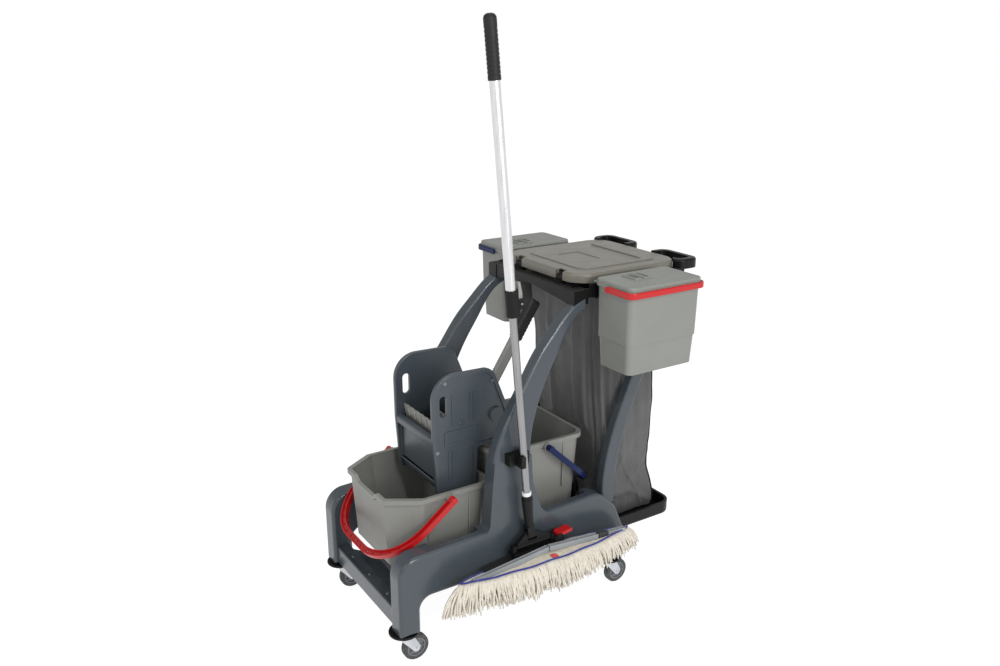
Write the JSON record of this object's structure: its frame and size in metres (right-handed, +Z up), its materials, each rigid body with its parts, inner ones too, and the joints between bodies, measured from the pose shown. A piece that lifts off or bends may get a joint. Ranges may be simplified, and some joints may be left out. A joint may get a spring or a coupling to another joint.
{
  "type": "housekeeping cart",
  "caption": "Wheeled cleaning cart with moulded side frames, two buckets, a down-press wringer, a lidded waste bag, lidded side bins and a clipped flat mop.",
  "frame": {"origin": "on the floor at the centre of the cart's box", "axes": "+X from the wringer end to the bag end, +Y to the far side, +Z up"},
  "size_m": [1.1158, 0.814, 1.7523],
  "materials": {
    "frame_grey": "satin moulded slate grey",
    "wringer_grey": "satin moulded slate grey",
    "tub_grey": "satin mid grey",
    "bin_grey": "satin mid grey",
    "red_plastic": "satin red",
    "blue_plastic": "satin blue",
    "black_plastic": "satin black",
    "light_grey_plastic": "satin light grey",
    "bag_fabric": "coated woven grey",
    "zinc_steel": "zinc plated",
    "aluminium_tube": "anodised",
    "tyre_rubber": "matt grey-black",
    "hub_grey": "satin grey",
    "mop_cotton": "looped cotton, cream"
  },
  "bodies": {
    "chassis": {"side_frame_near": "frame_grey", "side_frame_far": "frame_grey", "front_arm_near": "frame_grey", "front_arm_far": "frame_grey", "rear_arm_near": "frame_grey", "rear_arm_far": "frame_grey", "front_beam": "frame_grey", "base_spine": "frame_grey", "bag_tray": "black_plastic", "top_frame": "black_plastic", "push_handles": "black_plastic", "corner_bumpers": "frame_grey", "mop_clip": "black_plastic", "frame_screws": "zinc_steel", "waste_bag": "bag_fabric", "bucket_rear": "tub_grey"},
    "lid": {"bag_lid": "bin_grey"},
    "near_bin": {"bin_near": "bin_grey"},
    "near_bin_lid": {"bin_lid_near": "bin_grey"},
    "near_bin_bail": {"bin_bail_near": "red_plastic"},
    "far_bin": {"bin_far": "bin_grey"},
    "far_bin_lid": {"bin_lid_far": "bin_grey"},
    "far_bin_bail": {"bin_bail_far": "blue_plastic"},
    "front_bucket": {"bucket_front": "tub_grey"},
    "front_bucket_bail": {"bail_front": "red_plastic"},
    "rear_bucket_bail": {"bail_rear": "blue_plastic"},
    "wringer": {"wringer_side_near": "wringer_grey", "wringer_side_far": "wringer_grey", "wringer_front_panel": "wringer_grey", "wringer_back_panel": "wringer_grey", "wringer_front_jaw": "light_grey_plastic", "wringer_screws": "zinc_steel"},
    "wringer_press": {"wringer_press_jaw": "light_grey_plastic"},
    "wringer_handle": {"wringer_shaft": "zinc_steel", "wringer_lever": "light_grey_plastic", "wringer_grip": "black_plastic"},
    "mop_staff": {"mop_lower_tube": "aluminium_tube", "mop_socket": "black_plastic"},
    "mop_outer_staff": {"mop_upper_tube": "aluminium_tube", "mop_grip": "black_plastic", "mop_lock_collar": "black_plastic"},
    "mop_staff_lock": {"mop_lock_lever": "light_grey_plastic"},
    "mop_swivel": {"mop_yoke": "black_plastic"},
    "mop_head": {"mop_wing_left": "light_grey_plastic", "mop_wing_right": "light_grey_plastic", "mop_saddle": "black_plastic", "mop_cover": "mop_cotton"},
    "mop_release": {"mop_pedal": "red_plastic"},
    "caster_front_near": {"caster_fork_front_near": "zinc_steel"},
    "wheel_front_near": {"caster_hub_front_near": "hub_grey", "caster_tyre_front_near": "tyre_rubber"},
    "caster_front_far": {"caster_fork_front_far": "zinc_steel"},
    "wheel_front_far": {"caster_hub_front_far": "hub_grey", "caster_tyre_front_far": "tyre_rubber"},
    "caster_rear_near": {"caster_fork_rear_near": "zinc_steel"},
    "wheel_rear_near": {"caster_hub_rear_near": "hub_grey", "caster_tyre_rear_near": "tyre_rubber"},
    "caster_rear_far": {"caster_fork_rear_far": "zinc_steel"},
    "wheel_rear_far": {"caster_hub_rear_far": "hub_grey", "caster_tyre_rear_far": "tyre_rubber"}
  },
  "joints": [
    {"name": "caster_swivel_front_near", "type": "hinge", "parent": "chassis", "child": "caster_front_near", "pos_m": [-0.509, -0.221, 0.1], "axis": [0, 0, 1], "continuous": true},
    {"name": "wheel_spin_front_near", "type": "hinge", "parent": "caster_front_near", "child": "wheel_front_near", "pos_m": [-0.476, -0.221, 0.04], "axis": [0, 1, 0], "continuous": true},
    {"name": "caster_swivel_front_far", "type": "hinge", "parent": "chassis", "child": "caster_front_far", "pos_m": [-0.509, 0.221, 0.1], "axis": [0, 0, 1], "continuous": true},
    {"name": "wheel_spin_front_far", "type": "hinge", "parent": "caster_front_far", "child": "wheel_front_far", "pos_m": [-0.476, 0.221, 0.04], "axis": [0, 1, 0], "continuous": true},
    {"name": "caster_swivel_rear_near", "type": "hinge", "parent": "chassis", "child": "caster_rear_near", "pos_m": [0.229, -0.221, 0.1], "axis": [0, 0, 1], "continuous": true},
    {"name": "wheel_spin_rear_near", "type": "hinge", "parent": "caster_rear_near", "child": "wheel_rear_near", "pos_m": [0.262, -0.221, 0.04], "axis": [0, 1, 0], "continuous": true},
    {"name": "caster_swivel_rear_far", "type": "hinge", "parent": "chassis", "child": "caster_rear_far", "pos_m": [0.229, 0.221, 0.1], "axis": [0, 0, 1], "continuous": true},
    {"name": "wheel_spin_rear_far", "type": "hinge", "parent": "caster_rear_far", "child": "wheel_rear_far", "pos_m": [0.262, 0.221, 0.04], "axis": [0, 1, 0], "continuous": true},
    {"name": "lid_hinge", "type": "hinge", "parent": "chassis", "child": "lid", "pos_m": [0.103, 0, 1.025], "axis": [0, -1, 0], "range_deg": [0, 95]},
    {"name": "near_bin_lift", "type": "slide", "parent": "chassis", "child": "near_bin", "axis": [0, 0, 1], "range_m": [0, 0.2]},
    {"name": "near_bin_lid_hinge", "type": "hinge", "parent": "near_bin", "child": "near_bin_lid", "pos_m": [0.2615, -0.236, 1.04], "axis": [-1, 0, 0], "range_deg": [0, 80]},
    {"name": "near_bin_bail_swing", "type": "hinge", "parent": "near_bin", "child": "near_bin_bail", "pos_m": [0.2615, -0.301, 1.024], "axis": [-1, 0, 0], "range_deg": [0, 90]},
    {"name": "far_bin_lift", "type": "slide", "parent": "chassis", "child": "far_bin", "axis": [0, 0, 1], "range_m": [0, 0.2]},
    {"name": "far_bin_lid_hinge", "type": "hinge", "parent": "far_bin", "child": "far_bin_lid", "pos_m": [0.2615, 0.236, 1.04], "axis": [1, 0, 0], "range_deg": [0, 80]},
    {"name": "far_bin_bail_swing", "type": "hinge", "parent": "far_bin", "child": "far_bin_bail", "pos_m": [0.2615, 0.301, 1.024], "axis": [1, 0, 0], "range_deg": [0, 90]},
    {"name": "front_bucket_lift", "type": "slide", "parent": "chassis", "child": "front_bucket", "axis": [-0.5, 0, 0.866], "range_m": [0, 0.2]},
    {"name": "front_bail_swing", "type": "hinge", "parent": "front_bucket", "child": "front_bucket_bail", "pos_m": [-0.331, 0, 0.452], "axis": [0, 1, 0], "range_deg": [0, 90]},
    {"name": "rear_bail_swing", "type": "hinge", "parent": "chassis", "child": "rear_bucket_bail", "pos_m": [0.006, 0, 0.527], "axis": [0, -1, 0], "range_deg": [0, 3]},
    {"name": "wringer_lift", "type": "slide", "parent": "front_bucket", "child": "wringer", "axis": [-0.5, 0, 0.866], "range_m": [0, 0.2]},
    {"name": "wringer_lever_swing", "type": "hinge", "parent": "wringer", "child": "wringer_handle", "pos_m": [-0.136, 0, 0.644], "axis": [0, -1, 0], "range_deg": [0, 75]},
    {"name": "wringer_press_swing", "type": "hinge", "parent": "wringer", "child": "wringer_press", "pos_m": [-0.224, 0, 0.478], "axis": [0, -1, 0], "range_deg": [0, 22.5]},
    {"name": "mop_unclip", "type": "slide", "parent": "chassis", "child": "mop_staff", "axis": [0.848, -0.53, 0], "range_m": [0, 0.25]},
    {"name": "mop_telescope", "type": "slide", "parent": "mop_staff", "child": "mop_outer_staff", "axis": [0.0924, 0, -0.9957], "range_m": [0, 0.35]},
    {"name": "mop_lock_swing", "type": "hinge", "parent": "mop_outer_staff", "child": "mop_staff_lock", "pos_m": [-0.17439, -0.298, 1.02924], "axis": [0, 1, 0], "range_deg": [0, 90]},
    {"name": "mop_swivel_swing", "type": "hinge", "parent": "mop_staff", "child": "mop_swivel", "pos_m": [-0.134, -0.298, 0.334], "axis": [0, 1, 0], "range_deg": [-20, 20]},
    {"name": "mop_head_tilt", "type": "hinge", "parent": "mop_swivel", "child": "mop_head", "pos_m": [-0.134, -0.298, 0.299], "axis": [-1, 0, 0], "range_deg": [0, 60]},
    {"name": "mop_pedal_press", "type": "hinge", "parent": "mop_head", "child": "mop_release", "pos_m": [-0.036, -0.298, 0.301], "axis": [0, 1, 0], "range_deg": [0, 8], "stiffness_Nm_per_rad": 0.5}
  ],
  "couplings": [
    {"joint": "wringer_press_swing", "follows": "wringer_lever_swing", "ratio": 0.3}
  ]
}
